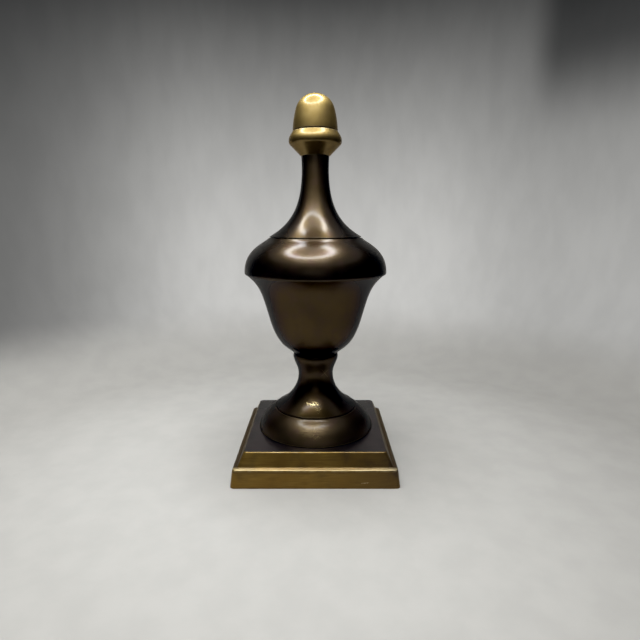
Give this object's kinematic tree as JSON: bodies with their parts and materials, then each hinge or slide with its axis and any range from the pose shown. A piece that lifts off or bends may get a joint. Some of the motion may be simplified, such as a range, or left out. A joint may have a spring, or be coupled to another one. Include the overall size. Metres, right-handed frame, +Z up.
{
  "type": "urn finial",
  "caption": "Free-standing urn finial: stepped square plinth, turned foot, bell-shaped cup with a domed lid, slender neck and acorn knob.",
  "frame": {"origin": "middle of the plinth's flat underside", "axes": "+Z up along the turned axis, X and Y square to the plinth's sides, front face towards -Y"},
  "size_m": [0.102, 0.102, 0.2317],
  "materials": {
    "satin_brass": "satin lacquered brass with a brown tone, edges worn bright; the plinth's top is patinated dark",
    "dark_bronze": "semi-gloss dark brown bronze patina over turned brass, rubbed through to gold on the foot"
  },
  "bodies": {
    "root": {"plinth": "satin_brass", "foot": "dark_bronze", "cup": "dark_bronze", "lid": "dark_bronze", "acorn_knob": "satin_brass"}
  },
  "joints": []
}
